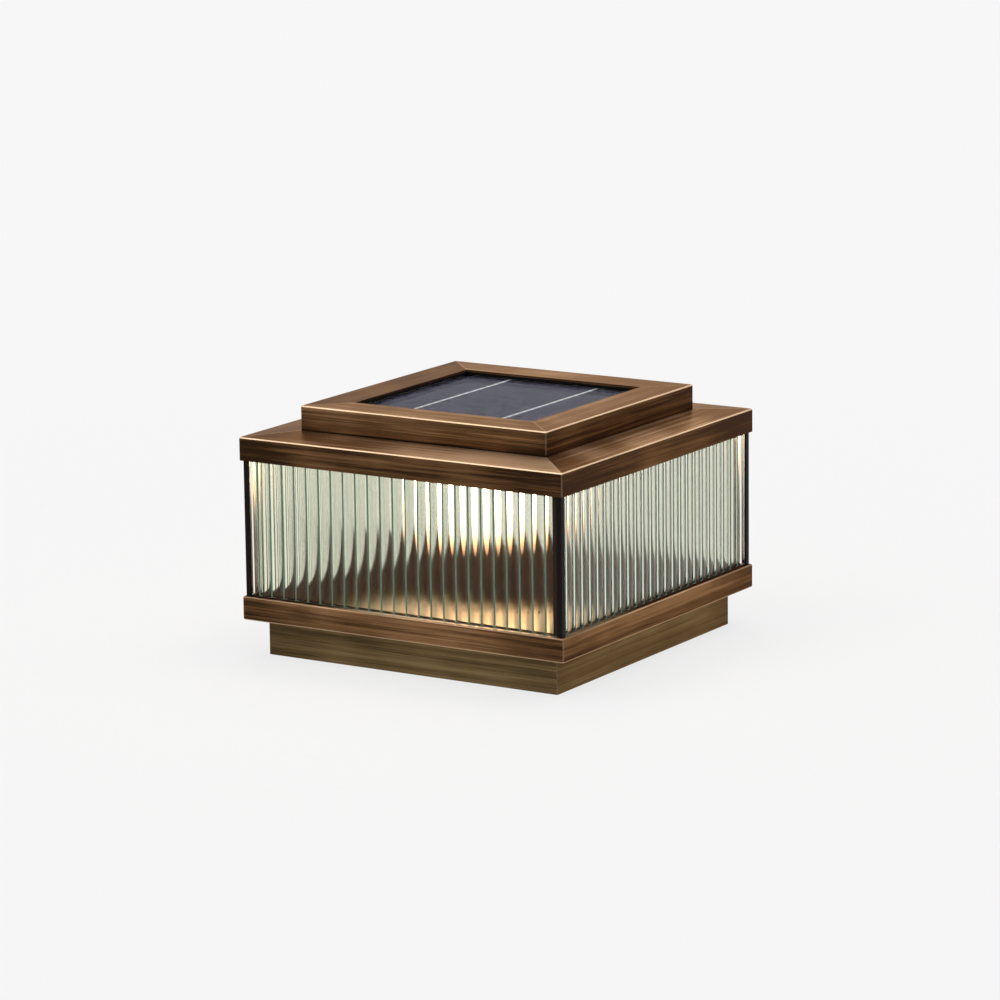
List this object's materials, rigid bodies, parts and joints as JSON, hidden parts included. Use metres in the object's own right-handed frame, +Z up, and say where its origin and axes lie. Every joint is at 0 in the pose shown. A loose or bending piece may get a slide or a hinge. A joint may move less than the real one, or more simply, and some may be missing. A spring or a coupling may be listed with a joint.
{
  "type": "deck post cap light",
  "caption": "Square glazed solar light that caps a deck post, with reeded glass sides, a flat hipped roof, a raised solar panel tray and a lift-off head.",
  "frame": {"origin": "centre of the plinth's lower edge", "axes": "+Z up, -Y the lantern's front, +X its right side"},
  "size_m": [0.2, 0.2, 0.1342],
  "materials": {
    "bronze_sheet": "brushed antique bronze, worn bright along the folds",
    "black_paint": "satin black",
    "zinc_steel": "zinc plated",
    "reeded_glass": "clear, faintly green, reeded outside",
    "black_rubber": "matt",
    "foam": "closed cell foam",
    "panel_glass": "smooth",
    "silicon_cell": "dark slate silicon with fine lines",
    "tinned_ribbon": "tinned copper",
    "white_plastic": "plain",
    "black_plastic": "moulded, fine grain",
    "battery_wrap": "shrunk sleeve",
    "nickel": "nickel plated spring steel",
    "circuit_board": "solder resist",
    "component_plastic": "moulded",
    "led_board_white": "white solder resist",
    "led_emitter": "phosphor, warm white when lit",
    "frosted_plastic": "frosted, glows warm white when lit",
    "button_plastic": "smooth"
  },
  "bodies": {
    "base": {"plinth": "bronze_sheet", "post_pad": "foam", "deck": "bronze_sheet", "screw_sleeves": "zinc_steel", "deck_rivets": "zinc_steel", "glazing_gasket_lower": "black_rubber", "glazing_gasket_upper": "black_rubber", "glass_front": "reeded_glass", "glass_right": "reeded_glass", "glass_back": "reeded_glass", "glass_left": "reeded_glass", "corner_post_front_right": "black_paint", "corner_post_back_right": "black_paint", "corner_post_back_left": "black_paint", "corner_post_front_left": "black_paint", "top_ring": "black_paint"},
    "head": {"head_seal": "foam", "ceiling_plate": "bronze_sheet", "roof_shell": "bronze_sheet", "standoffs": "zinc_steel", "ceiling_screws": "zinc_steel", "panel_tray": "bronze_sheet", "tray_screws": "zinc_steel", "tray_nuts": "zinc_steel", "panel_seal": "black_rubber", "panel_glass": "panel_glass", "busbar_ribbons": "tinned_ribbon", "solar_cells": "silicon_cell", "panel_back_sheet": "white_plastic", "electronics_box": "black_plastic", "battery_holder": "black_plastic", "battery_cells": "battery_wrap", "battery_contacts": "nickel", "battery_door": "black_plastic", "door_screws": "zinc_steel", "controller_board": "circuit_board", "board_components": "component_plastic", "switch_housing": "component_plastic", "led_board": "led_board_white", "leds": "led_emitter", "diffuser_dome": "frosted_plastic", "dome_ring": "bronze_sheet", "dome_screws": "zinc_steel"},
    "button": {"switch_button": "button_plastic"}
  },
  "joints": [
    {"name": "head_lift", "type": "slide", "parent": "base", "child": "head", "axis": [0, 0, 1], "range_m": [0, 0.08]},
    {"name": "button_press", "type": "slide", "parent": "head", "child": "button", "axis": [0, 0, 1], "range_m": [0, 0.0015], "stiffness_N_per_m": 300}
  ]
}
